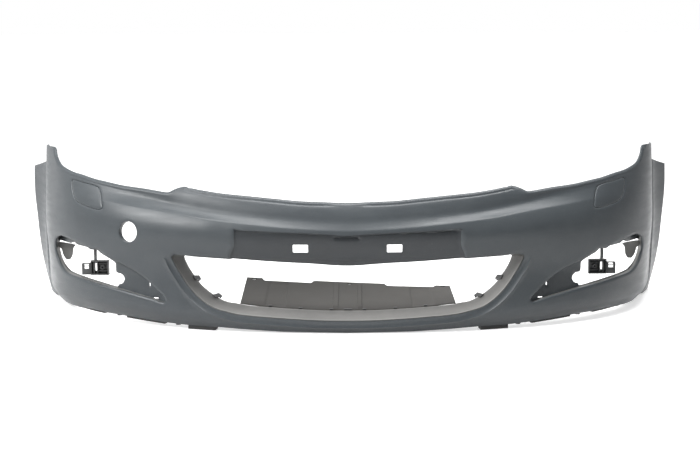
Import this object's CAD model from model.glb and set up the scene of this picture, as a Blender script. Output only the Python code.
import bpy
import math
import numpy as np
from mathutils import Vector, Matrix
from mathutils.geometry import delaunay_2d_cdt
from mathutils.kdtree import KDTree


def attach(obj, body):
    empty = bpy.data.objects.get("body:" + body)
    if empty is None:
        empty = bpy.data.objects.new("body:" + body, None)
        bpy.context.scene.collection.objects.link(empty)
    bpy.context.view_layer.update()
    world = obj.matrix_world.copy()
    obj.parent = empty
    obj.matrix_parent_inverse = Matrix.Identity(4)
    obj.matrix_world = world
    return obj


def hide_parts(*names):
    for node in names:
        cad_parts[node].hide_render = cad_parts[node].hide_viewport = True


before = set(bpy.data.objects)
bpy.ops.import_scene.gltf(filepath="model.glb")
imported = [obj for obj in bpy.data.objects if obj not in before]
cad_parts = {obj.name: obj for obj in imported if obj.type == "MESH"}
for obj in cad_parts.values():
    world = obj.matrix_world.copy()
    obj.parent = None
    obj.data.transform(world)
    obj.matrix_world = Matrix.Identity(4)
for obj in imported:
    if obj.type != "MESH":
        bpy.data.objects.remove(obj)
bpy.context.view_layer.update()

# =====================================================================
# Surface mathematics (body axes: x across, y back from the nose, z up, mm)
# =====================================================================
LV = [0, 60, 150, 230, 300, 370, 450]
ST = [0, 200, 400, 560, 700, 800, 890, 965, 1030, 1085]
PLAN = {
    0:   [(0, 2), (200, 12), (398, 47), (550, 105), (666, 184), (731.4, 266), (764.6, 343), (782.9, 402), (796, 448), (806, 488)],
    60:  [(0, 2), (200, 12), (400, 47), (556, 105), (676, 185), (745.4, 270), (778.6, 352), (797.9, 412), (814, 462), (828, 506)],
    150: [(0, 13), (200, 22), (400, 54), (560, 110), (687, 190), (760.8, 284), (792.3, 375), (811.8, 446), (831.3, 500), (856, 546)],
    230: [(0, 0), (200, 10), (400, 45), (560, 103), (690, 190), (768.1, 288), (801.7, 388), (819.4, 465), (839.2, 520), (867.5, 563)],
    300: [(0, 28), (200, 37), (400, 69), (560, 121), (692, 200), (769.3, 295), (800.9, 393), (817.5, 472), (840.7, 529), (875.5, 574)],
    370: [(0, 78), (200, 86), (400, 113), (560, 158), (695, 224), (770.8, 309), (799.8, 400), (815.8, 478), (840.5, 535), (876, 580)],
    450: [(0, 140), (200, 146), (400, 168), (560, 206), (697, 256), (770.4, 326), (797.9, 408), (813.4, 484), (840.8, 540), (876, 584)],
}
LOWER = np.array([(0, 0), (157, 2), (239, 6), (319, 10), (386, 11), (448, 14), (560, 22), (640, 25), (720, 28.5),
                  (800, 28), (900, 25.5), (960, 25), (1030, 26.5), (1085, 28)], float)
UPPER = [(-757, 431.0), (-752, 428), (-748, 414), (-741, 400), (-730, 388.5), (-713, 380), (-689, 372), (-666, 367.5),
         (-644, 362), (-623, 357), (-602, 353.5), (-550, 344.5), (-490, 338), (-440, 331), (-430, 331), (-418, 337),
         (-402, 342.5), (-389, 344), (-384, 341), (-376, 340.5), (-356, 337), (-307, 330), (-237, 323.7), (-169, 317.7), (-114, 312.7), (-60, 310.7), (0, 308.7)]
SIDE_TOP = [(425, 431.0), (440, 429), (452, 424), (470, 398), (490, 386), (530, 378), (600, 362)]
MOUTH = [((0, 160), (0, -.02)), ((-73, 163), (0, -.02)), ((-182, 168), (0, -.02)), ((-269, 174), (0, -.02)),
         ((-363, 179), (.1, -.03)), ((-420, 180), (.42, -.08)), ((-417, 161), (.42, -.15)), ((-402, 135), (.45, -.15)),
         ((-381, 105), (.47, -.1)), ((-354, 78), (.55, 0)), ((-323, 58), (.5, .12)), ((-286, 47), (.33, .25)),
         ((-258, 41), (.15, .3)), ((-182, 35), (0, .32)), ((-74, 29), (0, .32)), ((0, 28), (0, .32))]
FOG_RECESS = [(-748, 196), (-736, 208), (-719, 210), (-671, 199), (-638, 189), (-616, 187), (-586, 168), (-566, 160),
              (-545, 152), (-516, 139), (-484, 118), (-455, 92), (-438, 74), (-443, 65), (-472, 72), (-516, 81),
              (-562, 90), (-619, 99), (-675, 109), (-712, 116), (-731, 130), (-745, 152), (-751, 175)]
FOG_OPENING = [(-738, 193), (-702, 191), (-690, 195), (-682, 190), (-650, 186), (-640, 181), (-622, 182), (-609, 173),
               (-586, 162), (-571, 152), (-569, 130), (-556, 127), (-549, 121), (-547, 114), (-551, 105), (-557, 101),
               (-564, 99), (-566, 93.5), (-598, 98.5), (-653, 108), (-703, 117), (-711, 121), (-729, 134), (-742.5, 153), (-748, 176), (-746, 188)]
WASHER = [(-688, 353), (-655, 347.5), (-622, 341), (-612, 334), (-608, 326), (-603, 311), (-600, 296), (-599, 288), (-604, 284.5),
          (-618, 284), (-640, 288.5), (-662, 295), (-674, 300.5), (-680, 307), (-687, 322), (-690, 334), (-691, 345)]
TOW_T, TOW_Z, TOW_R, TOW_LEN = -530.0, 234.0, 25.5, 12.0
WASHER_T, WASHER_Z = -650.0, 318.0
MOUTH_DEPTH = 58.0
REST_Y, REST_BACK_Y, Y_MID, Z_LIFT = 16.0, 496.0, 307.97, 1.133
JOINT_GAP, DEFL_HALF, DEFL_BACK = 2.9, 262.0, 240.0
TILT = math.atan2(28.0, REST_BACK_Y - REST_Y)
CT, SN = math.cos(TILT), math.sin(TILT)


def stand(p):
    """Body axes in mm to the resting frame in metres."""
    p = np.asarray(p, float)
    x, y, z = p[..., 0], p[..., 1] - REST_Y, p[..., 2]
    return np.stack([x, y * CT + z * SN + REST_Y - Y_MID, -y * SN + z * CT + Z_LIFT], -1) / 1000.0


def turn(v):
    v = np.asarray(v, float)
    return np.stack([v[..., 0], v[..., 1] * CT + v[..., 2] * SN, -v[..., 1] * SN + v[..., 2] * CT], -1)


def nat(xs, ys):
    xs, ys = np.array(xs, float), np.array(ys, float)
    n = len(xs)
    h = np.diff(xs)
    a = np.zeros((n, n))
    r = np.zeros(n)
    a[0, 0] = a[-1, -1] = 1
    for i in range(1, n - 1):
        a[i, i - 1], a[i, i], a[i, i + 1] = h[i - 1], 2 * (h[i - 1] + h[i]), h[i]
        r[i] = 6 * ((ys[i + 1] - ys[i]) / h[i] - (ys[i] - ys[i - 1]) / h[i - 1])
    m = np.linalg.solve(a, r)

    def f(x):
        x = np.asarray(x, float)
        i = np.clip(np.searchsorted(xs, x, side="right") - 1, 0, n - 2)
        p = (xs[i + 1] - x) / h[i]
        q = (x - xs[i]) / h[i]
        return p * ys[i] + q * ys[i + 1] + ((p ** 3 - p) * m[i] + (q ** 3 - q) * m[i + 1]) * h[i] ** 2 / 6
    return f


TM = [-s for s in ST[:0:-1]] + ST
FX = [nat(TM, [-p[0] for p in PLAN[k][:0:-1]] + [p[0] for p in PLAN[k]]) for k in LV]
FY = [nat(TM, [p[1] for p in PLAN[k][:0:-1]] + [p[1] for p in PLAN[k]]) for k in LV]
_xs = np.array(LV, float)
_h = np.diff(_xs)
_A = np.zeros((len(LV), len(LV)))
_A[0, 0] = _A[-1, -1] = 1
for _i in range(1, len(LV) - 1):
    _A[_i, _i - 1], _A[_i, _i], _A[_i, _i + 1] = _h[_i - 1], 2 * (_h[_i - 1] + _h[_i]), _h[_i]
_AI = np.linalg.inv(_A)


def plan(t, z):
    """Untucked plan position, arrays."""
    t, z = np.broadcast_arrays(np.atleast_1d(np.asarray(t, float)), np.atleast_1d(np.asarray(z, float)))
    sh = t.shape
    t, z = t.ravel(), np.clip(z.ravel(), -40, 450)
    i = np.clip(np.searchsorted(_xs, z, side="right") - 1, 0, len(LV) - 2)
    k = np.arange(t.size)
    a = (_xs[i + 1] - z) / _h[i]
    b = (z - _xs[i]) / _h[i]
    out = []
    for fs in (FX, FY):
        v = np.stack([f(t) for f in fs])
        r = np.zeros_like(v)
        for j in range(1, len(LV) - 1):
            r[j] = 6 * ((v[j + 1] - v[j]) / _h[j] - (v[j] - v[j - 1]) / _h[j - 1])
        m = _AI @ r
        out.append((a * v[i, k] + b * v[i + 1, k] + ((a ** 3 - a) * m[i, k] + (b ** 3 - b) * m[i + 1, k]) * _h[i] ** 2 / 6).reshape(sh))
    return out[0], out[1]


def lower(t):
    return np.interp(np.abs(t), LOWER[:, 0], LOWER[:, 1])


def inward(t, z):
    x1, y1 = plan(np.asarray(t) + 2, z)
    x2, y2 = plan(np.asarray(t) - 2, z)
    tx, ty = x1 - x2, y1 - y2
    k = np.hypot(tx, ty)
    return -ty / k, tx / k


def outer(t, z):
    x, y = plan(t, z)
    a = np.abs(t)
    amt = (14 + 12 * np.clip((a - 250) / 350, 0, 1) - 7 * np.clip((a - 690) / 70, 0, 1)) * np.clip((1085 - a) / 160, 0, 1)
    g = np.clip(1 - (z - lower(t)) / 42.0, 0, 1) ** 2 * amt
    nx, ny = inward(t, z)
    return x + nx * g, y + ny * g


def surf(t, z, f=outer):
    """Base surface point and outward unit normal."""
    e = 1.5
    t = np.atleast_1d(np.asarray(t, float))
    z = np.atleast_1d(np.asarray(z, float))
    xa, ya = f(t + e, z)
    xb, yb = f(t - e, z)
    xc, yc = f(t, z + e)
    xd, yd = f(t, z - e)
    x, y = f(t, z)
    n = np.cross(np.stack([xa - xb, ya - yb, 0 * xa], -1), np.stack([xc - xd, yc - yd, 0 * xa + 2 * e], -1))
    n /= np.linalg.norm(n, axis=-1, keepdims=True)
    return np.stack([x, y, z + 0 * x], -1), n


def t_of_x(x, z):
    x = np.atleast_1d(np.asarray(x, float))
    z = np.atleast_1d(np.asarray(z, float))
    lo, hi = np.zeros_like(x), np.full_like(x, 1085.0)
    for _ in range(36):
        mid = (lo + hi) / 2
        s = plan(mid, z)[0] < np.abs(x)
        lo, hi = np.where(s, mid, lo), np.where(s, hi, mid)
    return np.sign(x) * lo


def t_of_y(y, z):
    y = np.atleast_1d(np.asarray(y, float))
    lo, hi = np.full_like(y, 700.0), np.full_like(y, 1085.0)
    for _ in range(36):
        mid = (lo + hi) / 2
        s = plan(mid, z)[1] < y
        lo, hi = np.where(s, mid, lo), np.where(s, hi, mid)
    return lo


def smooth_line(pts, step, closed=False, amount=1.0):
    """Catmull-Rom through the points, resampled evenly."""
    p = np.array(pts, float)
    n = len(p)
    segs = []
    rng = range(n) if closed else range(n - 1)
    for i in rng:
        p0 = p[(i - 1) % n] if closed or i > 0 else p[0] * 2 - p[1]
        p1, p2 = p[i], p[(i + 1) % n]
        p3 = p[(i + 2) % n] if closed or i + 2 < n else p[-1] * 2 - p[-2]
        L = np.linalg.norm(p2 - p1)
        # tangents scaled to the local chord keep short spans from overshooting
        m1 = (p2 - p0) / (np.linalg.norm(p2 - p0) + 1e-9) * L * amount
        m2 = (p3 - p1) / (np.linalg.norm(p3 - p1) + 1e-9) * L * amount
        s = np.linspace(0, 1, 12, endpoint=False)[:, None]
        segs.append((2 * s ** 3 - 3 * s ** 2 + 1) * p1 + (s ** 3 - 2 * s ** 2 + s) * m1 + (-2 * s ** 3 + 3 * s ** 2) * p2 + (s ** 3 - s ** 2) * m2)
    q = np.concatenate(segs)
    q = np.concatenate([q, p[:1]]) if closed else np.concatenate([q, p[-1:]])
    d = np.concatenate([[0], np.cumsum(np.linalg.norm(np.diff(q, axis=0), axis=1))])
    m = max(4, int(round(d[-1] / step)))
    s = np.linspace(0, d[-1], m + 1)
    out = np.stack([np.interp(s, d, q[:, 0]), np.interp(s, d, q[:, 1])], -1)
    return out[:-1] if closed else out


def mirror(pts):
    p = np.array(pts, float)[::-1].copy()
    p[:, 0] *= -1
    return p


def dist_to(points, line, closed=False):
    """Distance from each point to a polyline."""
    q = np.concatenate([line, line[:1]]) if closed else line
    a, b = q[:-1], q[1:]
    ab = b - a
    l2 = (ab ** 2).sum(1) + 1e-12
    out = np.empty(len(points))
    for k in range(0, len(points), 4000):
        p = points[k:k + 4000, None, :]
        s = np.clip(((p - a) * ab).sum(2) / l2, 0, 1)
        out[k:k + 4000] = np.sqrt((((a + s[..., None] * ab) - p) ** 2).sum(2)).min(1)
    return out


def inside(points, poly):
    x, y = points[:, 0], points[:, 1]
    c = np.zeros(len(points), bool)
    n = len(poly)
    j = n - 1
    for i in range(n):
        xi, yi = poly[i]
        xj, yj = poly[j]
        hit = ((yi > y) != (yj > y)) & (x < (xj - xi) * (y - yi) / (yj - yi + 1e-12) + xi)
        c ^= hit
        j = i
    return c


def grow(pts, d):
    p = np.array(pts, float)
    q = np.roll(p, -1, axis=0)
    s = 1.0 if np.sum(p[:, 0] * q[:, 1] - q[:, 0] * p[:, 1]) > 0 else -1.0
    a = p - np.roll(p, 1, axis=0)
    b = q - p
    a /= np.linalg.norm(a, axis=1, keepdims=True)
    b /= np.linalg.norm(b, axis=1, keepdims=True)
    na = np.stack([a[:, 1], -a[:, 0]], -1) * s
    nb = np.stack([b[:, 1], -b[:, 0]], -1) * s
    m = na + nb
    k = np.minimum(2.0 / ((m * m).sum(1) + 1e-9), 1.6)
    return p + m * k[:, None] * d


def sstep(x, a, b):
    u = np.clip((x - a) / (b - a), 0, 1)
    return u * u * (3 - 2 * u)


def ramp(x, r):
    return np.where(x < -r, 0, np.where(x > r, x, (x + r) ** 2 / (4 * r)))


def bell(x, w):
    return np.exp(-(x / w) ** 2)


# =====================================================================
# Feature lines in the (girth, height) domain
# =====================================================================
def to_tz(pts):
    p = np.array(pts, float)
    return np.stack([t_of_x(p[:, 0], p[:, 1]), p[:, 1]], -1)


upper_r = to_tz(UPPER)                       # vehicle's right half, horn to centre
upper_line = np.concatenate([upper_r, mirror(upper_r)[1:]])
side = np.array([(float(t_of_y([y], z)[0]), z) for y, z in SIDE_TOP])
k_edge = [i for i in range(len(side)) if side[i, 0] < 1084.9]
z_end = float(np.interp(plan(1085.0, 370.0)[1][0], [p[0] for p in SIDE_TOP], [p[1] for p in SIDE_TOP]))
side = np.concatenate([side[k_edge], [[1085.0, z_end]]])

step = 6.0
top_line = smooth_line(upper_line, step)
side_l = smooth_line(side, step)                 # from the horn rearwards, vehicle's left
horn_l = np.array([(top_line[-1, 0] + (side_l[0, 0] - top_line[-1, 0]) * s, 431.0) for s in np.linspace(0, 1, 22)])[1:-1]
end_l = np.array([(1085.0, z) for z in np.linspace(z_end, lower(1085.0), 60)])[1:-1]
ts = np.linspace(1085, -1085, 360)
bottom = np.stack([ts, lower(ts)], -1)
outer_loop = np.concatenate([top_line, horn_l, side_l, end_l, bottom, mirror(end_l), mirror(side_l), mirror(horn_l)])

mouth_half = to_tz([m[0] for m in MOUTH])
mouth_corner = mouth_half.copy()
mouth_loop0 = np.concatenate([mouth_half, mirror(mouth_half)[1:-1]])
mouth_loop = smooth_line(mouth_loop0, 5.0, closed=True)
fog_r = smooth_line(to_tz(FOG_RECESS), 4.0, closed=True)
fog_l = mirror(fog_r)
fogo_r = smooth_line(to_tz(FOG_OPENING), 3.5, closed=True, amount=.6)
fogo_l = mirror(fogo_r)
wash_r = smooth_line(to_tz(WASHER), 3.5, closed=True)
wash_l = mirror(wash_r)


def local(t, z):
    p, n = surf(t, z, plan)
    p, n = p[0], n[0]
    u = np.array([-n[1], n[0], 0.0])
    u /= np.linalg.norm(u)
    return p, u, np.cross(n, u), n


tp, tu, tv, tn = local(TOW_T, TOW_Z)
ang = np.linspace(0, 2 * np.pi, 56, endpoint=False)
tow3 = tp + TOW_R * (np.cos(ang)[:, None] * tu + np.sin(ang)[:, None] * tv)
tow_loop = np.stack([t_of_x(tow3[:, 0], tow3[:, 2]), tow3[:, 2]], -1)


def rrect(cx, cz, w, h, r, n=4):
    out = []
    for sx, sz, a0 in ((1, 1, 0), (-1, 1, 90), (-1, -1, 180), (1, -1, 270)):
        for k in range(n + 1):
            a = math.radians(a0 + 90 * k / n)
            out.append((cx + sx * (w / 2 - r) + r * math.cos(a), cz + sz * (h / 2 - r) + r * math.sin(a)))
    return np.array(out)


plate_r = to_tz(rrect(-111, 201, 37, 20.5, 2.5))
plate_l = mirror(plate_r)
small_hole = rrect(-715, 216.5, 5, 5, 2.4, 3)
small_hole_l = mirror(small_hole)

CREASE = nat([-700, -593, -517, -443, -353, -235, -154, -73, 0, 73, 154, 235, 353, 443, 517, 593, 700],
             [318, 305, 295, 286, 272, 259, 251, 246, 244, 246, 251, 259, 272, 286, 295, 305, 318])
VALLEY = nat([-700, -600, -540, -480, -434, -404, -305, -209, -127, -47, 0, 47, 127, 209, 305, 404, 434, 480, 540, 600, 700],
             [352, 338, 329, 320.5, 312, 306, 291, 281, 274.5, 269, 268, 269, 274.5, 281, 291, 306, 312, 320.5, 329, 338, 352])
PLATE_TOP = nat([-300, -263, -141, -29, 0, 29, 141, 263, 300], [249, 246, 240, 234, 232.5, 234, 240, 246, 249])
top_sorted = top_line[np.argsort(top_line[:, 0])]


def top_z(t):
    m = np.abs(top_sorted[:, 0]) < 735
    return np.interp(t, top_sorted[m, 0], top_sorted[m, 1])


xs6 = np.arange(-600, 600.1, 6.5)
features = []


def along(fn, off, xs):
    z = fn(xs) + off
    return np.stack([t_of_x(xs, z), z], -1)


for off in (-14, -6, -2.5, 0, 2.5, 6):
    features.append(along(CREASE, off, xs6))
for off in (-6, -2, 2, 6):
    features.append(along(VALLEY, off, xs6))
for off in (4.0, 7.0, 8.5, 10.0, 13.0):
    inner = grow(outer_loop, -off)
    k = len(top_line)
    features.append(inner[2:k - 2])
for off in (4.0, 8.5, 12.0, 14.0, 16.0, 19.0):
    g = grow(mouth_loop, off)
    keep = g[:, 1] < 182
    runs, cur = [], []
    for q, ok in zip(g, keep):
        if ok:
            cur.append(q)
        elif cur:
            runs.append(cur)
            cur = []
    if cur:
        runs.append(cur)
    if len(runs) > 1 and keep[0] and keep[-1]:
        runs[0] = runs[-1] + runs[0]
        runs.pop()
    for r_ in runs:
        if len(r_) > 3:
            features.append(np.array(r_))
tp6 = np.arange(-262, 262.1, 6.5)
for off in (-10.5, -5.0, -1.8, -0.4, 1.2, 3.5):
    features.append(along(PLATE_TOP, off, tp6))
for s in (-1, 1):
    for off in (-4.5, 0, 4.5):
        zz = np.arange(176.5, float(PLATE_TOP(264.0)) + 1, 6.0)
        ex = s * (268.0 + 10.0 * sstep(zz, 210, 179) + off)
        features.append(np.stack([t_of_x(ex, zz), zz], -1))
for g_ in (3.0, 7.0):
    for lp in (fog_r, fog_l, tow_loop, wash_r, wash_l):
        features.append(np.concatenate([grow(lp, g_), grow(lp, g_)[:1]]))
for s in (-1, 1):
    for tt in (972, 984, 992, 1000, 1012, 1074, 1080):
        zz = np.arange(34, 366, 7.0)
        features.append(np.stack([np.full_like(zz, s * tt), zz], -1))


def detail(t, z):
    """Height of the styling detail above the base surface."""
    p = np.stack([t, z], -1)
    xx = plan(t, z)[0]
    a = np.abs(xx)
    at = np.abs(t)
    c, v, tz = CREASE(np.clip(xx, -700, 700)), VALLEY(np.clip(xx, -700, 700)), top_z(np.clip(t, -734, 734))
    d = np.zeros_like(t)
    # crease, ledge, valley and the upright wall of the bonnet flange
    dv = np.interp(a, [0, 200, 350, 450, 560, 640, 700], [4.2, 6.6, 9.8, 8.2, 4.5, 1.4, 0])
    u1 = np.minimum(ramp(z - c, 1.8) / (v - c), 1.0)
    w1 = np.minimum(ramp(z - v, 6.0) / np.maximum(tz - v, 12), 1.0)
    up = dv * ((1 - w1) ** 2 * -1 + (1 - u1) ** 2)
    d += np.where(a < 700, np.minimum(up, 0.6), 0)
    # the belt below the crease is gently crowned outside the plate recess
    d += 2.0 * bell(z - c + 28.0, 30.0) * sstep(a, 285, 345) * sstep(a, 650, 540)
    # rolled upper edge
    top_d = dist_to(p, top_line)
    near = top_d < 30
    s = top_d
    wall = sstep(a, 452, 425)
    d += np.where(near, -np.clip(8.5 - s, 0, 9) ** 2 / 20.0 * (1 - wall), 0)
    d += np.where(near, -np.clip(4.0 - s, 0, 4) ** 2 / 8.0 * wall, 0)
    d -= np.where(near, 0.7 * bell(s - 10.5, 2.0) * (1 - wall) * sstep(a, 745, 700), 0)
    d -= np.where(near, 1.5 * bell(s - 8.0, 1.5) * sstep(a, 402, 396) * sstep(a, 20, 60), 0)
    # number-plate recess
    pt = PLATE_TOP(np.clip(xx, -300, 300))
    pe = 268.0 + 10.0 * sstep(z, 210, 179)
    d -= (4.2 + 2.6 * sstep(z, pt, 176)) * sstep(z, pt + 1.2, pt - 1.8) * sstep(a, pe + 3, pe - 3) * sstep(z, 100, 120)
    d -= 2.6 * sstep(a, 31, 28) * sstep(z, pt - 3.0, pt - 4.5) * sstep(z, pt - 11, pt - 9.5)
    d += 1.3 * sstep(a, 47, 43) * bell(z - 199.5, 1.7)
    for sx in (-1, 1):
        u = xx - sx * 137.0
        w = z - 199.0
        d -= 1.0 * (bell(u - w, 1.6) + bell(u + w, 1.6)) * bell(np.hypot(u, w), 6.0)
    # chamfer band round the intake mouth, with its outer ridge
    md = dist_to(p, mouth_loop, True)
    m = sstep(z, 181, 166)
    ridge = np.where(md < 14.0, -3.2 + 5.6 * (md / 14.0) ** 2.6, 2.4 * bell(md - 14.0, 3.4))
    d += ridge * m
    lip = np.where(md < 12, -np.clip(5 - md, 0, 5) ** 2 / 10.0, 0)
    d += lip * (1 - m)
    # edges of recesses and holes are slightly rounded
    for lp, r_, amt in ((fog_r, 4.0, 1.3), (fog_l, 4.0, 1.3), (tow_loop, 2.5, .7), (wash_r, 2.0, .7), (wash_l, 2.0, .7)):
        box = (t > lp[:, 0].min() - 8) & (t < lp[:, 0].max() + 8) & (z > lp[:, 1].min() - 8) & (z < lp[:, 1].max() + 8)
        if box.any():
            q = dist_to(p[box], lp, True)
            d[box] -= amt * np.clip(1 - q / r_, 0, 1) ** 2
    # wheel-arch lip stands off the side panel
    d += 2.6 * sstep(at, 985, 1000) - 2.2 * bell(at - 982, 9.0) * sstep(z, 60, 120)
    return d


def lift(t, z, sink=0.0):
    p, n = surf(t, z)
    return p + n * (detail(t, z) - sink)[:, None]


# =====================================================================
# Mesh accumulation
# =====================================================================
class Shell:
    def __init__(self):
        self.v, self.f, self.m = [], [], []

    def add(self, verts, faces, mat=0):
        o = len(self.v)
        self.v.extend(map(tuple, verts))
        self.f.extend([tuple(int(i) + o for i in q) for q in faces])
        self.m.extend([mat] * len(faces))
        return o


def make_object(name, verts_mm, faces, mats, mat_idx=None, solid=0.0, bevel=0.0, sharp=38, world=False, weld=0.0002):
    me = bpy.data.meshes.new(name)
    v = np.asarray(verts_mm, float)
    v = v if world else stand(v)
    me.from_pydata([tuple(p) for p in v], [], faces)
    for m in mats:
        me.materials.append(m)
    if mat_idx is not None:
        me.polygons.foreach_set("material_index", np.array(mat_idx, dtype=np.int32))
    me.update()
    ob = bpy.data.objects.new(name, me)
    bpy.context.scene.collection.objects.link(ob)
    if weld:
        import bmesh
        bm = bmesh.new()
        bm.from_mesh(me)
        bmesh.ops.remove_doubles(bm, verts=bm.verts, dist=weld)
        bmesh.ops.dissolve_degenerate(bm, dist=0.00002, edges=bm.edges)
        bm.to_mesh(me)
        bm.free()
    me.polygons.foreach_set("use_smooth", np.ones(len(me.polygons), bool))
    if solid:
        md = ob.modifiers.new("wall", "SOLIDIFY")
        md.thickness = solid
        md.offset = -1
        md.use_rim = True
        md.use_quality_normals = True
    if bevel:
        mb = ob.modifiers.new("edge", "BEVEL")
        mb.width = bevel
        mb.segments = 2
        mb.limit_method = "ANGLE"
        mb.angle_limit = math.radians(30)
        mb.harden_normals = False
    bpy.context.view_layer.update()
    dg = bpy.context.evaluated_depsgraph_get()
    new = bpy.data.meshes.new_from_object(ob.evaluated_get(dg))
    ob.modifiers.clear()
    ob.data = new
    new.name = name
    new.polygons.foreach_set("use_smooth", np.ones(len(new.polygons), bool))
    new.set_sharp_from_angle(angle=math.radians(sharp))
    new.update()
    return ob


def triangulate(loop, holes, lines, du, dv, margin=2.6, region=None):
    """Constrained triangulation of a region of the domain; returns points and counter-clockwise triangles."""
    pts, edges = [], []

    def put(line, closed):
        o = len(pts)
        pts.extend([tuple(q) for q in line])
        n = len(line)
        for i in range(n - 1):
            edges.append((o + i, o + i + 1))
        if closed:
            edges.append((o + n - 1, o))
    put(loop, True)
    for h in holes:
        put(h, True)
    for ln in lines:
        ok = inside(ln, loop)
        for h in holes:
            ok &= ~inside(ln, h)
        dl = dist_to(ln, loop, True)
        for h in holes:
            bb = (ln[:, 0] > h[:, 0].min() - 5) & (ln[:, 0] < h[:, 0].max() + 5)
            if bb.any():
                dl[bb] = np.minimum(dl[bb], dist_to(ln[bb], h, True))
        ok &= dl > 1.6
        run = []
        for q, g in zip(ln, ok):
            if g:
                run.append(q)
            else:
                if len(run) > 1:
                    put(np.array(run), False)
                run = []
        if len(run) > 1:
            put(np.array(run), False)
    lo, hi = loop.min(0), loop.max(0)
    gu, gv = np.meshgrid(np.arange(lo[0], hi[0], du), np.arange(lo[1], hi[1], dv))
    gu = gu + (np.arange(gu.shape[0]) % 2)[:, None] * du * 0.5
    g = np.stack([gu.ravel(), gv.ravel()], -1)
    ok = inside(g, loop)
    for h in holes:
        ok &= ~inside(g, h)
    g = g[ok]
    kd = KDTree(len(pts))
    for i, q in enumerate(pts):
        kd.insert((q[0], q[1], 0), i)
    kd.balance()
    g = [q for q in g if kd.find((q[0], q[1], 0))[2] > margin]
    allp = [Vector((float(a), float(b))) for a, b in pts] + [Vector((float(a), float(b))) for a, b in g]
    vo, eo, fo, _, _, _ = delaunay_2d_cdt(allp, edges, [], 0, 1e-5)
    P = np.array([(q.x, q.y) for q in vo])
    F = np.array([f for f in fo if len(f) == 3], int)
    c = P[F].mean(1)
    ok = inside(c, loop)
    for h in holes:
        ok &= ~inside(c, h)
    F = F[ok]
    a, b, c2 = P[F[:, 0]], P[F[:, 1]], P[F[:, 2]]
    area = (b[:, 0] - a[:, 0]) * (c2[:, 1] - a[:, 1]) - (b[:, 1] - a[:, 1]) * (c2[:, 0] - a[:, 0])
    F[area < 0] = F[area < 0][:, ::-1]
    F = F[np.abs(area) > 1e-4]
    used = np.unique(F)
    remap = -np.ones(len(P), int)
    remap[used] = np.arange(len(used))
    return P[used], remap[F]


def boundary_loops(F):
    """Ordered boundary loops, each with the sheet on its left."""
    cnt = {}
    for a, b, c in F:
        for e in ((a, b), (b, c), (c, a)):
            cnt[e] = cnt.get(e, 0) + 1
    nxt = {}
    for (a, b) in cnt:
        if (b, a) not in cnt:
            nxt.setdefault(a, []).append(b)
    loops = []
    while nxt:
        s = next(iter(nxt))
        cur, lp = s, []
        while cur in nxt:
            lp.append(cur)
            nb = nxt[cur].pop()
            if not nxt[cur]:
                del nxt[cur]
            cur = nb
            if cur == s:
                break
        loops.append(np.array(lp))
    return loops


def frames_on(P3, N, closed=True):
    """Outward in-surface direction at each loop vertex (sheet on the left of travel)."""
    a = np.roll(P3, 1, axis=0)
    b = np.roll(P3, -1, axis=0)
    T = b - a
    T /= np.linalg.norm(T, axis=1, keepdims=True) + 1e-9
    E = np.cross(T, N)
    E /= np.linalg.norm(E, axis=1, keepdims=True) + 1e-9
    return T, E


def ring_faces(o0, o1, n, closed=True):
    fs = []
    m = n if closed else n - 1
    for i in range(m):
        j = (i + 1) % n
        fs.append((o0 + j, o0 + i, o1 + i, o1 + j))
    return fs


# =====================================================================
# Materials
# =====================================================================
def new_mat(name):
    m = bpy.data.materials.new(name)
    m.use_nodes = True
    nt = m.node_tree
    for n in list(nt.nodes):
        nt.nodes.remove(n)
    out = nt.nodes.new("ShaderNodeOutputMaterial")
    bs = nt.nodes.new("ShaderNodeBsdfPrincipled")
    nt.links.new(bs.outputs[0], out.inputs[0])
    return m, nt, bs


def noise(nt, scale, detail_=4.0, rough=0.5, dist=0.0, stretch=None):
    tc = nt.nodes.new("ShaderNodeTexCoord")
    n = nt.nodes.new("ShaderNodeTexNoise")
    n.inputs["Scale"].default_value = scale
    n.inputs["Detail"].default_value = detail_
    n.inputs["Roughness"].default_value = rough
    n.inputs["Distortion"].default_value = dist
    if stretch:
        mp = nt.nodes.new("ShaderNodeMapping")
        mp.inputs["Scale"].default_value = stretch
        nt.links.new(tc.outputs["Object"], mp.inputs["Vector"])
        nt.links.new(mp.outputs[0], n.inputs["Vector"])
    else:
        nt.links.new(tc.outputs["Object"], n.inputs["Vector"])
    return n


def mapr(nt, src, a, b, c, d):
    m = nt.nodes.new("ShaderNodeMapRange")
    m.inputs["From Min"].default_value = a
    m.inputs["From Max"].default_value = b
    m.inputs["To Min"].default_value = c
    m.inputs["To Max"].default_value = d
    nt.links.new(src, m.inputs["Value"])
    return m.outputs[0]


def mixc(nt, fac, a, b, mode="MIX"):
    m = nt.nodes.new("ShaderNodeMix")
    m.data_type = "RGBA"
    m.blend_type = mode
    for sock, val in ((m.inputs[0], fac), (m.inputs[6], a), (m.inputs[7], b)):
        if isinstance(val, (int, float)):
            sock.default_value = val
        elif isinstance(val, tuple):
            sock.default_value = val if len(val) == 4 else (*val, 1)
        else:
            nt.links.new(val, sock)
    return m.outputs[2]


def bump(nt, height, strength, distance, normal=None):
    b = nt.nodes.new("ShaderNodeBump")
    b.inputs["Strength"].default_value = strength
    b.inputs["Distance"].default_value = distance
    nt.links.new(height, b.inputs["Height"])
    if normal:
        nt.links.new(normal, b.inputs["Normal"])
    return b.outputs[0]


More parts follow.
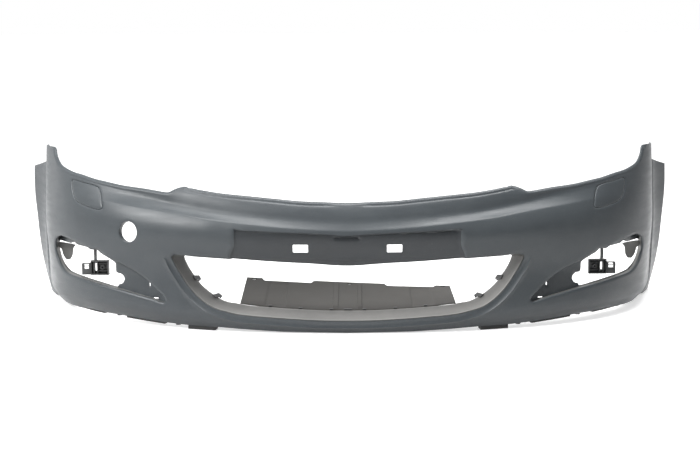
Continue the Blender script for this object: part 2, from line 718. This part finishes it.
def primer_material(name, c0, c1, rough, warm=0.0):
    m, nt, bs = new_mat(name)
    big = noise(nt, 3.2, 3, 0.5)
    mid = noise(nt, 26.0, 5, 0.6)
    fine = noise(nt, 620.0, 3, 0.6)
    peel = noise(nt, 210.0, 2, 0.5)
    dust = noise(nt, 1500.0, 2, 0.5)
    streak = noise(nt, 18.0, 4, 0.6, 0.3, (0.35, 1.0, 4.0))
    col = mixc(nt, mapr(nt, big.outputs[0], 0.35, 0.65, 0, 1), c0, c1)
    col = mixc(nt, mapr(nt, mid.outputs[0], 0.42, 0.62, 0.0, 0.22), col, tuple(v * 1.25 for v in c1))
    col = mixc(nt, mapr(nt, fine.outputs[0], 0.62, 0.75, 0.0, 0.35), col, tuple(v * 1.5 for v in c1))
    col = mixc(nt, mapr(nt, dust.outputs[0], 0.68, 0.72, 0.0, 0.5), col, (0.32, 0.33, 0.33))
    # a little wear where the moulding's edges are proud
    geo = nt.nodes.new("ShaderNodeNewGeometry")
    edge = mapr(nt, geo.outputs["Pointiness"], 0.53, 0.60, 0.0, 0.5)
    col = mixc(nt, edge, col, tuple(v * 1.9 for v in c1))
    nt.links.new(col, bs.inputs["Base Color"])
    r = mapr(nt, streak.outputs[0], 0.3, 0.7, rough - 0.05, rough + 0.07)
    nt.links.new(r, bs.inputs["Roughness"])
    bs.inputs["Specular IOR Level"].default_value = 0.5
    n1 = bump(nt, peel.outputs[0], 0.10, 0.0006)
    n2 = bump(nt, fine.outputs[0], 0.16, 0.00018, n1)
    nt.links.new(n2, bs.inputs["Normal"])
    return m


def plastic_material(name, c0, c1, rough, grain=900.0, grain_amt=0.25, streaks=True, dusty=None):
    m, nt, bs = new_mat(name)
    big = noise(nt, 9.0, 4, 0.6)
    fine = noise(nt, grain, 3, 0.6)
    col = mixc(nt, mapr(nt, big.outputs[0], 0.35, 0.65, 0, 1), c0, c1)
    if dusty:
        # settled dust: more towards +x and towards the front edge
        tco = nt.nodes.new("ShaderNodeTexCoord")
        sx = nt.nodes.new("ShaderNodeSeparateXYZ")
        nt.links.new(tco.outputs["Object"], sx.inputs[0])
        col = mixc(nt, mapr(nt, sx.outputs["X"], -0.15, 0.26, 0.0, 0.50), col, dusty)
        col = mixc(nt, mapr(nt, sx.outputs["Y"], -0.08, -0.25, 0.0, 0.75), col, dusty)
    if streaks:
        st = noise(nt, 30.0, 4, 0.6, 0.4, (6.0, 0.5, 1.0))
        col = mixc(nt, mapr(nt, st.outputs[0], 0.45, 0.7, 0, 0.35), col, tuple(v * 1.3 for v in c1))
    geo = nt.nodes.new("ShaderNodeNewGeometry")
    edge = mapr(nt, geo.outputs["Pointiness"], 0.53, 0.62, 0.0, 0.5)
    col = mixc(nt, edge, col, tuple(min(v * 2.0 + 0.01, 1) for v in c1))
    nt.links.new(col, bs.inputs["Base Color"])
    nt.links.new(mapr(nt, big.outputs[0], 0.3, 0.7, rough - 0.06, rough + 0.08), bs.inputs["Roughness"])
    vor = nt.nodes.new("ShaderNodeTexVoronoi")
    vor.inputs["Scale"].default_value = grain
    tc = nt.nodes.new("ShaderNodeTexCoord")
    nt.links.new(tc.outputs["Object"], vor.inputs["Vector"])
    n1 = bump(nt, vor.outputs["Distance"], grain_amt, 0.0002)
    n2 = bump(nt, fine.outputs[0], 0.15, 0.0002, n1)
    nt.links.new(n2, bs.inputs["Normal"])
    return m


PRIMER = primer_material("primer_satin", (0.057, 0.0655, 0.073), (0.065, 0.075, 0.082), 0.37)
THIN = primer_material("primer_thin_overspray", (0.165, 0.163, 0.158), (0.20, 0.197, 0.19), 0.5)
BROWN = plastic_material("deflector_plastic", (0.020, 0.019, 0.017), (0.029, 0.027, 0.024), 0.6, 900.0, 0.12, False, (0.088, 0.084, 0.078))
PLATE = primer_material("primer_recess", (0.017, 0.020, 0.023), (0.021, 0.025, 0.029), 0.42)
GREY = plastic_material("grey_moulding", (0.060, 0.062, 0.063), (0.080, 0.082, 0.083), 0.45, 900.0, 0.3, False)
BLACK = plastic_material("black_moulding", (0.030, 0.031, 0.032), (0.045, 0.046, 0.047), 0.42, 900.0, 0.3, False)
RUBBER = plastic_material("black_rubber", (0.012, 0.012, 0.0125), (0.02, 0.02, 0.0205), 0.62, 1200.0, 0.4, False)

# =====================================================================
# Fascia
# =====================================================================
holes = [mouth_loop, fog_r, fog_l, wash_r, wash_l, tow_loop, plate_r, plate_l]
P, F = triangulate(outer_loop, holes, features, 8.0, 7.0)
P3 = lift(P[:, 0], P[:, 1])
# vertex normals of the detailed surface
fn = np.cross(P3[F[:, 1]] - P3[F[:, 0]], P3[F[:, 2]] - P3[F[:, 0]])
VN = np.zeros_like(P3)
for k in range(3):
    np.add.at(VN, F[:, k], fn)
VN /= np.linalg.norm(VN, axis=1, keepdims=True) + 1e-12

sh = Shell()
sh.add(P3, F, 0)
cen = P[F].mean(1)
cx = np.abs(plan(cen[:, 0], cen[:, 1])[0])
in_plate = (cx < 268.0 + 10.0 * sstep(cen[:, 1], 210, 179)) & (cen[:, 1] < PLATE_TOP(np.clip(cx, -300, 300)) - 0.4) & (cen[:, 1] > 110)
sh.m = [2 if q else 0 for q in in_plate]


def loop_kind(lp):
    q = P[lp]
    c = q.mean(0)
    if len(lp) > 700 or (q[:, 0].max() - q[:, 0].min()) > 1500:
        return "outer"
    best, kind = 1e9, ""
    for nm, h in (("mouth", mouth_loop), ("fog_r", fog_r), ("fog_l", fog_l), ("wash_r", wash_r), ("wash_l", wash_l),
                  ("tow", tow_loop), ("plate_r", plate_r), ("plate_l", plate_l)):
        d = np.linalg.norm(h.mean(0) - c)
        if d < best:
            best, kind = d, nm
    return kind


def profile_rings(lp, profile, mat, E, N, base=None, o0=None):
    """Extrude a loop through (a, b) steps: a outward in the surface, b inward."""
    n = len(lp)
    prev = np.asarray(lp) if o0 is None else o0
    B = P3[lp] if base is None else base
    for a, b in profile:
        q = B + E * (np.asarray(a).reshape(-1, 1)) - N * (np.asarray(b).reshape(-1, 1))
        o = sh.add(q, [])
        cur = np.arange(o, o + n)
        for i in range(n):
            j = (i + 1) % n
            sh.f.append((int(prev[j]), int(prev[i]), int(cur[i]), int(cur[j])))
            sh.m.append(mat)
        prev = cur
    return prev


mouth_slope_src = np.array([m[1] for m in MOUTH])
mouth_src_t = mouth_half
slope_all = np.concatenate([mouth_slope_src, mouth_slope_src[::-1][1:-1] * np.array([-1, 1])])
LOOPS = {}
for lp in boundary_loops(F):
    if len(lp) < 8:
        continue
    kind = loop_kind(lp)
    LOOPS[kind] = lp
    N = VN[lp]
    T, E = frames_on(P3[lp], N)
    n = len(lp)
    if kind == "outer":
        q = P[lp]
        d_top = dist_to(q, top_line)
        top = d_top < 0.6
        low = np.abs(q[:, 1] - lower(q[:, 0])) < 0.6
        end = (np.abs(q[:, 0]) > 1084.4) & ~low
        depth = np.where(top, 3.5 + 12.5 * sstep(q[:, 1], 404, 376), np.where(low, 26.0, np.where(end, 17.0, 4.0)))
        ker = np.array([1, 2, 3, 2, 1]) / 9.0
        ext = np.concatenate([depth[-2:], depth, depth[:2]])
        depth = np.convolve(ext, ker, "valid")
        # inward direction: along the normal, but level (in plan) for the lower edge
        nx, ny = inward(q[:, 0], q[:, 1])
        D = np.where(low[:, None], np.stack([-nx, -ny, 0 * nx - 0.03], -1), N)
        D = (D + np.roll(D, 1, 0) + np.roll(D, -1, 0)) / 3
        D /= np.linalg.norm(D, axis=1, keepdims=True)
        R = 2.0
        prof = [(R * math.sin(math.radians(a)) * 0.9, R * (1 - math.cos(math.radians(a)))) for a in (30, 60, 90)]
        base = P3[lp]
        prev = profile_rings(lp, [(a, b) for a, b in prof], 0, E * np.where(low, 0.0, np.where(end, .3, .6))[:, None], D)
        e0 = E * np.where(low, 0.0, np.where(end, .3, .6))[:, None] * R * 0.9
        for s in (0.35, 0.7, 1.0):
            qv = base + e0 - D * (R + (depth - R) * s)[:, None]
            o = sh.add(qv, [])
            cur = np.arange(o, o + n)
            for i in range(n):
                j = (i + 1) % n
                sh.f.append((int(prev[j]), int(prev[i]), int(cur[i]), int(cur[j])))
                sh.m.append(0)
            prev = cur
    elif kind == "mouth":
        q = P[lp]
        # draught vector of the frame at each point
        dd = ((q[:, None, :] - mouth_loop0[None]) ** 2).sum(2)
        i1 = np.argsort(dd, axis=1)[:, :2]
        w = 1 / (np.take_along_axis(dd, i1, 1) ** 0.5 + 1e-3)
        w /= w.sum(1, keepdims=True)
        sl = (slope_all[i1] * w[..., None]).sum(1)
        for _ in range(6):
            sl = (sl + np.roll(sl, 1, 0) + np.roll(sl, -1, 0)) / 3
        is_top = sstep(q[:, 1], 158, 166) * sstep(np.abs(q[:, 0]), 424, 395)
        G = np.stack([sl[:, 0], np.ones(n), sl[:, 1]], -1)
        # groove where the chamfer band meets the frame, then the frame itself
        k = (1 - is_top)[:, None]
        base = P3[lp]
        g1 = base + np.array([0, 1.6, 0]) + E * 0.5
        g2 = base + np.array([0, 3.4, 0]) + E * 0.4 * k
        g3 = base + np.array([0, 3.6, 0]) + E * (1.9 * k)
        g4 = base + np.array([0, 2.4, 0]) + E * (2.5 * k) + G * 0
        dep = MOUTH_DEPTH * np.ones(n)
        rings = [(g1, 0), (g2, 0), (g3, 1), (g4, 1)]
        t_, z_ = q[:, 0], q[:, 1]
        _, nb = surf(t_, z_, plan)
        L = (MOUTH_DEPTH - 9.0) / np.abs(nb[:, 1])
        for s in (0.12, 0.35, 0.6, 0.85, 1.0):
            rings.append((g4 + G * (L * s)[:, None], 1))
        prev = lp
        for idx, (qv, mt) in enumerate(rings):
            o = sh.add(qv, [])
            cur = np.arange(o, o + n)
            for i in range(n):
                j = (i + 1) % n
                sh.f.append((int(prev[j]), int(prev[i]), int(cur[i]), int(cur[j])))
                sh.m.append(mt if idx > 1 else 0)
            prev = cur
    elif kind in ("fog_r", "fog_l"):
        q = P[lp]
        a = np.abs(q[:, 0])
        fd = np.interp(a, [440, 520, 620, 780], [15, 18, 21, 20])
        _, nb = surf(q[:, 0], q[:, 1], plan)
        L = fd / np.abs(nb[:, 1])
        prof = [(0.9, 0.3), (1.5, 1.2), (1.7, 2.4)]
        prev = profile_rings(lp, prof, 0, E, N)
        b0 = P3[lp] + E * 1.7 - N * 2.4
        for s in (0.25, 0.6, 1.0):
            qv = b0 + np.stack([0 * L, L * s - 2.0 * s, 0 * L], -1) + E * 0.6 * s
            o = sh.add(qv, [])
            cur = np.arange(o, o + n)
            for i in range(n):
                j = (i + 1) % n
                sh.f.append((int(prev[j]), int(prev[i]), int(cur[i]), int(cur[j])))
                sh.m.append(0 if s < 0.5 else 1)
            prev = cur
    elif kind in ("wash_r", "wash_l"):
        prof = [(0.35, 0.25), (0.5, 1.0), (0.5, 5.2), (4.6, 5.4), (4.6, 8.0)]
        profile_rings(lp, prof, 0, E, N)
    elif kind == "tow":
        nn = np.tile(tn, (n, 1))
        prof = [(0.3, 0.2), (0.5, 0.8), (0.5, 4.0), (0.5, TOW_LEN)]
        ee = E
        profile_rings(lp, prof, 0, ee, nn)
    else:
        prof = [(0.35, 0.15), (0.5, 0.6)]
        profile_rings(lp, prof, 0, E, N)

# fog-lamp recess floors
def fog_depth(t):
    return np.interp(np.abs(t), [440, 520, 620, 780], [15, 18, 21, 20])


for rec, opn, sgn in ((fog_r, fogo_r, -1), (fog_l, fogo_l, 1)):
    rim = grow(rec, 0.3)
    slots = [rrect(sgn * 479.5, 105, 4, 9, 1.8, 3), rrect(sgn * 544, 84.5, 12, 3.4, 1.6, 3), rrect(sgn * 464, 73.5, 13, 4, 1.8, 3)]
    lines = []
    P_, F_ = triangulate(rim, [opn] + slots, lines, 8.0, 7.0)
    p0, n0 = surf(P_[:, 0], P_[:, 1], plan)
    dep = fog_depth(P_[:, 0])
    dep = dep - 2.0 * bell(np.hypot(P_[:, 0] - sgn * 529, P_[:, 1] - 140), 4.5)
    # floor sits straight behind the skin, so step back along the depth axis
    p1 = p0 + np.stack([0 * dep, dep / np.abs(n0[:, 1]), 0 * dep], -1)
    o = sh.add(p1, F_, 0)
    fnn = np.cross(p1[F_[:, 1]] - p1[F_[:, 0]], p1[F_[:, 2]] - p1[F_[:, 0]])
    vn = np.zeros_like(p1)
    for k in range(3):
        np.add.at(vn, F_[:, k], fnn)
    vn /= np.linalg.norm(vn, axis=1, keepdims=True) + 1e-12
    for lp in boundary_loops(F_):
        if len(lp) < 6:
            continue
        T_, E_ = frames_on(p1[lp], vn[lp])
        isrim = len(lp) > 100 and np.abs(P_[lp][:, 0]).min() < 445 and np.abs(P_[lp][:, 0]).max() > 770
        if isrim:
            continue
        prev = np.asarray(lp) + o
        n = len(lp)
        for a_, b_ in ((0.4, 0.3), (0.5, 1.2), (0.5, 5.0)):
            qv = p1[lp] + E_ * a_ + np.array([0, b_, 0])
            oo = sh.add(qv, [])
            cur = np.arange(oo, oo + n)
            for i in range(n):
                j = (i + 1) % n
                sh.f.append((int(prev[j]), int(prev[i]), int(cur[i]), int(cur[j])))
                sh.m.append(1)
            prev = cur

fascia = make_object("fascia_skin", sh.v, sh.f, [PRIMER, THIN, PLATE], sh.m, solid=0.0026, sharp=42)
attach(fascia, "cover")
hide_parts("fascia")

# tongues hanging inside the recesses
for sgn, side_name in ((-1, "right"), (1, "left")):
    poly = smooth_line([(-746, 186), (-738, 187), (-702, 179.5), (-708, 172), (-711, 152), (-717, 142), (-727, 142.5),
                        (-735, 156), (-739, 170), (-746, 174)], 3.0, closed=True, amount=.5)
    if sgn > 0:
        poly = mirror(poly)
    P_, F_ = triangulate(poly, [], [], 6.0, 6.0, margin=2.0)
    x, z = P_[:, 0], P_[:, 1]
    y = 283 + 0.05 * (z - 160) + 1.5 * bell(np.abs(x) - 716, 8)
    tg = make_object("fog_tongue_" + side_name, np.stack([x, y, z], -1), [tuple(f) for f in F_], [THIN], None, solid=0.0024, bevel=0.0004)
    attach(tg, "cover")

# =====================================================================
# Washer covers
# =====================================================================
for sgn, side_name, lp0 in ((-1, "right", wash_r), (1, "left", wash_l)):
    rim = grow(lp0, -1.5)
    lines = [np.concatenate([grow(rim, -1.0), grow(rim, -1.0)[:1]]), np.concatenate([grow(rim, -2.6), grow(rim, -2.6)[:1]])]
    P_, F_ = triangulate(rim, [], lines, 6.0, 6.0, margin=2.0)
    q3 = lift(P_[:, 0], P_[:, 1])
    e = dist_to(P_, rim, True)
    p0, n0 = surf(P_[:, 0], P_[:, 1])
    q3 = q3 - n0 * (0.5 * np.clip(1 - e / 2.4, 0, 1) ** 2)[:, None]
    ws = Shell()
    ws.add(q3, F_, 0)
    for lp in boundary_loops(F_):
        T_, E_ = frames_on(q3[lp], n0[lp])
        prev = np.asarray(lp)
        n = len(lp)
        for a_, b_ in ((0.25, 0.25), (0.3, 1.0), (0.3, 2.4)):
            qv = q3[lp] + E_ * a_ - n0[lp] * b_
            o = ws.add(qv, [])
            cur = np.arange(o, o + n)
            for i in range(n):
                j = (i + 1) % n
                ws.f.append((int(prev[j]), int(prev[i]), int(cur[i]), int(cur[j])))
                ws.m.append(0)
            prev = cur
        # closed back
        cpt = q3.mean(0) - n0.mean(0) * 2.4
        o = ws.add([cpt], [])
        for i in range(n):
            j = (i + 1) % n
            ws.f.append((int(prev[j]), int(prev[i]), o))
            ws.m.append(0)
    # snap legs with a hooked end
    pc, u, v, nn = local(sgn * 650.0, WASHER_Z)
    for s in (-16, 16):
        for (a0, a1, b0, b1, c0, c1) in ((s - 2, s + 2, -7, 7, -23.5, -2.2), (s - 2.0, s + 3.4 * np.sign(s) + (2 if s > 0 else 0), -7, 7, -23.5, -20.0)):
            lo_a, hi_a = min(a0, a1), max(a0, a1)
            cs = [pc + u * aa + v * bb + nn * cc for cc in (c0, c1) for bb in (b0, b1) for aa in (lo_a, hi_a)]
            ws.add(cs, [(0, 2, 3, 1), (4, 5, 7, 6), (0, 1, 5, 4), (2, 6, 7, 3), (0, 4, 6, 2), (1, 3, 7, 5)], 0)
    wc = make_object("washer_flap_skin_" + side_name, ws.v, ws.f, [PRIMER], ws.m, sharp=42, weld=0)
    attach(wc, "washer_flap_" + side_name)
    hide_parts("washer_cover_" + side_name)

# =====================================================================
# Lower deflector
# =====================================================================
def defl_front(x):
    z = 47.0 + 0.00021 * x * x
    t = t_of_x(x, z)
    p, n = surf(t, z, plan)
    q = p - n * MOUTH_DEPTH
    return q[:, 1] + JOINT_GAP + 0.00001 * x * x, z


def defl_point(x, s, h=0.0):
    y0, z0 = defl_front(x)
    z1 = 88.7 - 12.0 * x / 262.0 + 1.5 * (x / 262.0) ** 2
    y = y0 + (DEFL_BACK - y0) * s
    return np.stack([x * (1 - 0.012 * s), y, z0 + (z1 - z0) * s + h], -1)


def rear_limit(x):
    """Free rear edge: three tabs reach further back."""
    e = 0.90 + 0.03 * 0
    tab = sstep(-x, 214, 222) * 1.0 + sstep(x, 216, 224) * 0.99 + sstep(np.abs(x - 2), 97, 90) * 0.96
    return np.where(tab > 0, e + (0.985 - e) * np.clip(tab, 0, 1), e)


us = np.unique(np.concatenate([np.linspace(-260.5, 260.5, 90), [-222, -218, -214, 216, 220, 224, -97, -93.5, -90, 90, 93.5, 97],
                               [-204, -201, -199, -196, -156, -153, -151, -148, 153, 156, 158, 161, 200, 203, 205, 208],
                               [-38, -36, -25, -23, 23, 25, 33, 35]]))
vs = np.linspace(0.0, 1.0, 26)
U, V = np.meshgrid(us, vs)
S = V * rear_limit(U)
chan = sstep(np.abs(U + 176.5), 27, 23) + sstep(np.abs(U - 180.5), 27, 23)
ribs = sstep(np.abs(U + 30.5), 7.3, 5.6) + sstep(np.abs(U - 29), 6, 4)
fade = sstep(V, 0.03, 0.09) * sstep(V, 0.99, 0.93)
H = -0.2 + (-2.2 * chan + 2.6 * ribs) * fade - 0.4 * bell(V - 0.5, 0.03) * 0
G3 = defl_point(U.ravel(), S.ravel(), H.ravel())
nu, nv = len(us), len(vs)
faces = []
slots3 = [(-241.0, 0.945), (3.0, 0.93), (241.0, 0.945)]
for j in range(nv - 1):
    for i in range(nu - 1):
        a = j * nu + i
        faces.append((a, a + 1, a + nu + 1, a + nu))
dv = G3.copy()
ds = Shell()
ds.add(dv, faces, 0)
# short turned-down flange along the sides and front edge
border = [j * nu for j in range(nv - 1, -1, -1)] + list(range(1, nu)) + [j * nu + nu - 1 for j in range(1, nv)]
bp_ = dv[border]
dn = bp_ + np.array([0, 0, -1.9])
defl = make_object("deflector_panel", ds.v, ds.f, [BROWN], ds.m, solid=0.0021, bevel=0.0004, sharp=30)
# slotted tab holes cut through
for k, (hx, hs) in enumerate(slots3):
    c = defl_point(np.array([hx]), np.array([hs]))[0]
    ring = rrect(0, 0, 13, 6, 2.9, 4)
    vv = [(c[0] + a, c[1] + b - 2, c[2] + hh) for hh in (-14, 14) for a, b in ring]
    n = len(ring)
    ff = [tuple(range(n - 1, -1, -1)), tuple(range(n, 2 * n))] + [(i, (i + 1) % n, n + (i + 1) % n, n + i) for i in range(n)]
    cut = make_object("cut%d" % k, vv, ff, [BROWN], weld=0)
    mb = defl.modifiers.new("slot", "BOOLEAN")
    mb.operation = "DIFFERENCE"
    mb.solver = "EXACT"
    mb.object = cut
    bpy.context.view_layer.update()
    new = bpy.data.meshes.new_from_object(defl.evaluated_get(bpy.context.evaluated_depsgraph_get()))
    defl.modifiers.clear()
    defl.data = new
    bpy.data.objects.remove(cut)
defl.data.polygons.foreach_set("use_smooth", np.ones(len(defl.data.polygons), bool))
defl.data.set_sharp_from_angle(angle=math.radians(30))
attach(defl, "cover")
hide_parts("lower_deflector")

# =====================================================================
# Fog-lamp brackets: open moulded boxes on a stem
# =====================================================================
def box_faces(o=0):
    return [(0, 2, 3, 1), (4, 5, 7, 6), (0, 1, 5, 4), (2, 6, 7, 3), (0, 4, 6, 2), (1, 3, 7, 5)]


def add_box(shell, x0, x1, y0, y1, z0, z1):
    cs = [(x, y, z) for z in (z0, z1) for y in (y0, y1) for x in (x0, x1)]
    shell.add(cs, [(0, 2, 3, 1), (4, 5, 7, 6), (0, 1, 5, 4), (2, 6, 7, 3), (0, 4, 6, 2), (1, 3, 7, 5)], 0)


for sgn, side_name in ((-1, "right"), (1, "left")):
    b = Shell()
    Y0, Y1 = 191.4, 206.6

    def bx(x0, x1, y0, y1, z0, z1):
        xa, xb = sorted((sgn * x0, sgn * x1))
        add_box(b, xa, xb, y0, y1, z0, z1)
    # outer box with its square window
    for (x0, x1, z0, z1) in ((645.2, 666.8, 115.2, 128.8), (645.2, 666.8, 142.2, 143.8), (662.6, 666.8, 129, 142), (645.2, 649.4, 129, 142)):
        bx(x0, x1, Y0, Y1, z0, z1)
    bx(650, 662, Y1 - 3, Y1 - 1.6, 134.6, 136.4)
    # inner box: frame walls, louvre and screw boss
    for (x0, x1, z0, z1) in ((600.2, 644.8, 114.2, 117.4), (600.2, 644.8, 148.0, 150.8), (600.2, 603.0, 117.4, 148), (642.4, 644.8, 117.4, 148),
                             (635.2, 637.4, 117.4, 148), (626.6, 628.8, 117.4, 148)):
        bx(x0, x1, Y0, Y1, z0, z1)
    bx(603, 626.6, Y1 - 4.5, Y1 - 2.2, 117.4, 148)
    bx(628.8, 635.2, Y1 - 4.5, Y1 - 2.2, 117.4, 124)
    bx(628.8, 635.2, Y1 - 4.5, Y1 - 2.2, 143, 148)
    bx(637.4, 642.4, Y1 - 4.5, Y1 - 2.2, 117.4, 148)
    for zz in (124, 141.5):
        bx(603, 626.6, Y0 + 2, Y1 - 4, zz, zz + 1.6)
    # stem and foot
    bx(629.2, 635.8, Y0, Y1 - 7, 150.8, 193.8)
    bx(631.6, 633.4, Y1 - 7, Y1 - 1.5, 150.8, 190)
    bx(624.8, 640.2, 167.4, Y1, 193.8, 195.8)
    # screw boss as a turned ring
    n = 24
    vv, ff = [], []
    prof = [(2.6, Y0 - 0.0), (5.2, Y0), (5.6, Y0 + 0.6), (5.6, Y1 - 4), (2.6, Y1 - 4), (2.6, Y0)]
    for k in range(n):
        a = 2 * math.pi * k / n
        for r_, yy in prof[:-1]:
            vv.append((sgn * 615 + r_ * math.cos(a), yy, 133.5 + r_ * math.sin(a)))
    m_ = len(prof) - 1
    for k in range(n):
        for i in range(m_):
            a0, a1 = k * m_ + i, k * m_ + (i + 1) % m_
            b0, b1 = ((k + 1) % n) * m_ + i, ((k + 1) % n) * m_ + (i + 1) % m_
            ff.append((a0, b0, b1, a1))
    b.add(vv, ff, 0)
    br = make_object("fog_bracket_moulding_" + side_name, b.v, b.f, [GREY], b.m, bevel=0.0005, sharp=35, weld=0)
    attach(br, "cover")
    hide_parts("fog_bracket_" + side_name)

# =====================================================================
# Carried CAD nodes: softened edges and moulded finishes
# =====================================================================
for node, mat, bw in (("deflector_clips", BLACK, 0.0004), ("deflector_centre_clip", BLACK, 0.0004), ("grille_clips_right", BLACK, 0.0005),
                      ("grille_clips_left", BLACK, 0.0005), ("lower_edge_pins", BLACK, 0.0005), ("lip_outer_right", RUBBER, 0.0006),
                      ("lip_outer_left", RUBBER, 0.0006), ("lip_inner_right", RUBBER, 0.0006), ("lip_inner_left", RUBBER, 0.0006),
                      ("support_pad_right", RUBBER, 0.001), ("support_pad_left", RUBBER, 0.001)):
    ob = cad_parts[node]
    ob = bpy.data.objects[ob] if isinstance(ob, str) else ob
    if not ob.data.materials:
        ob.data.materials.append(mat)
    for sl in ob.material_slots:
        sl.material = mat
    md = ob.modifiers.new("edge", "BEVEL")
    md.width = bw
    md.segments = 2
    md.limit_method = "ANGLE"
    md.angle_limit = math.radians(40)

# =====================================================================
# Stage, light, camera
# =====================================================================
def add_floor():
    me = bpy.data.meshes.new("studio_floor")
    s = 60.0
    n = 24
    vv = [(x, y, 0.0) for y in np.linspace(-s, s, n) for x in np.linspace(-s, s, n)]
    ff = [(j * n + i, j * n + i + 1, (j + 1) * n + i + 1, (j + 1) * n + i) for j in range(n - 1) for i in range(n - 1)]
    me.from_pydata(vv, [], ff)
    m, nt, bs = new_mat("studio_floor")
    nz = noise(nt, 2.0, 3)
    col = mixc(nt, mapr(nt, nz.outputs[0], 0.3, 0.7, 0, 1), (0.86, 0.86, 0.86), (0.88, 0.88, 0.88))
    nt.links.new(col, bs.inputs["Base Color"])
    bs.inputs["Roughness"].default_value = 0.9
    bs.inputs["Specular IOR Level"].default_value = 0.1
    nt.links.new(col, bs.inputs["Emission Color"])
    bs.inputs["Emission Strength"].default_value = 0.62
    me.materials.append(m)
    ob = bpy.data.objects.new("studio_floor", me)
    bpy.context.scene.collection.objects.link(ob)
    # the object takes its light from below from the soft surround, not from this sheet
    ob.visible_diffuse = False
    return ob


add_floor()
world = bpy.data.worlds.new("studio")
world.use_nodes = True
wn = world.node_tree
bg = wn.nodes["Background"]
wt = wn.nodes.new("ShaderNodeTexCoord")
wx = wn.nodes.new("ShaderNodeSeparateXYZ")
wn.links.new(wt.outputs["Generated"], wx.inputs[0])


def world_range(src, a, b, c, d):
    m = wn.nodes.new("ShaderNodeMapRange")
    m.interpolation_type = "SMOOTHSTEP"
    for key, val in (("From Min", a), ("From Max", b), ("To Min", c), ("To Max", d)):
        m.inputs[key].default_value = val
    wn.links.new(src, m.inputs["Value"])
    return m.outputs[0]


back_side = world_range(wx.outputs["Y"], -0.55, 0.35, 0.50, 1.0)
left_side = world_range(wx.outputs["X"], -0.95, 0.95, 1.0, 0.36)
wide = world_range(wx.outputs["Y"], 0.55, 0.9, 0.0, 1.0)
side_mix = wn.nodes.new("ShaderNodeMath")
side_mix.operation = "MAXIMUM"
wn.links.new(left_side, side_mix.inputs[0])
wn.links.new(wide, side_mix.inputs[1])
wm = wn.nodes.new("ShaderNodeMath")
wm.operation = "MULTIPLY"
wn.links.new(back_side, wm.inputs[0])
wn.links.new(side_mix.outputs[0], wm.inputs[1])
low_side = world_range(wx.outputs["Z"], -0.95, -0.3, 0.62, 1.0)
wz = wn.nodes.new("ShaderNodeMath")
wz.operation = "MULTIPLY"
wn.links.new(wm.outputs[0], wz.inputs[0])
wn.links.new(low_side, wz.inputs[1])
wn.links.new(wz.outputs[0], bg.inputs[1])
bg.inputs[0].default_value = (1.0, 1.0, 1.0, 1)
bpy.context.scene.world = world


def area(name, loc, target, size, power, color=(1, 1, 1)):
    li = bpy.data.lights.new(name, "AREA")
    li.shape = "RECTANGLE"
    li.size, li.size_y = size
    li.energy = power
    li.color = color
    ob = bpy.data.objects.new(name, li)
    bpy.context.scene.collection.objects.link(ob)
    ob.location = loc
    ob.rotation_euler = (Vector(target) - Vector(loc)).to_track_quat("-Z", "Y").to_euler()
    return ob


area("key_left", (-2.6, -2.0, 2.3), (-0.25, 0.0, 0.2), (1.6, 1.2), 88)
area("rim_left", (-3.2, 1.2, 0.9), (-0.85, 0.05, 0.2), (1.2, 1.6), 7)
area("rim_right", (3.2, 1.4, 0.9), (0.85, 0.05, 0.2), (1.0, 1.4), 1.5)
area("top_soft", (0.15, -0.5, 3.0), (0, 0, 0.2), (3.2, 1.4), 118)

PSI, PITCH, DIST, CAM_H, FPX = 0.009, math.radians(6.5), 2875.0, 567.8, 1239.0
pos = np.array([DIST * math.sin(PSI), -DIST * math.cos(PSI), CAM_H])
fwd = np.array([-math.sin(PSI) * math.cos(PITCH), math.cos(PSI) * math.cos(PITCH), -math.sin(PITCH)])
cam = bpy.data.cameras.new("camera")
co = bpy.data.objects.new("camera", cam)
bpy.context.scene.collection.objects.link(co)
cp = stand(pos)
fw = turn(fwd)
right = np.cross(fw, turn([0, 0, 1.0]))
right /= np.linalg.norm(right)
upv = np.cross(right, fw)
ROLL = -0.004
right, upv = right * math.cos(ROLL) + upv * math.sin(ROLL), upv * math.cos(ROLL) - right * math.sin(ROLL)
co.matrix_world = Matrix([[right[0], upv[0], -fw[0], cp[0]], [right[1], upv[1], -fw[1], cp[1]],
                          [right[2], upv[2], -fw[2], cp[2]], [0, 0, 0, 1]])
cam.sensor_width = 36.0
cam.lens = FPX / 700.0 * 36.0
cam.shift_x = (350.0 - 349.0 + 1.65) / 700.0
cam.clip_end = 100
bpy.context.scene.camera = co
bpy.context.scene.view_settings.view_transform = "Standard"

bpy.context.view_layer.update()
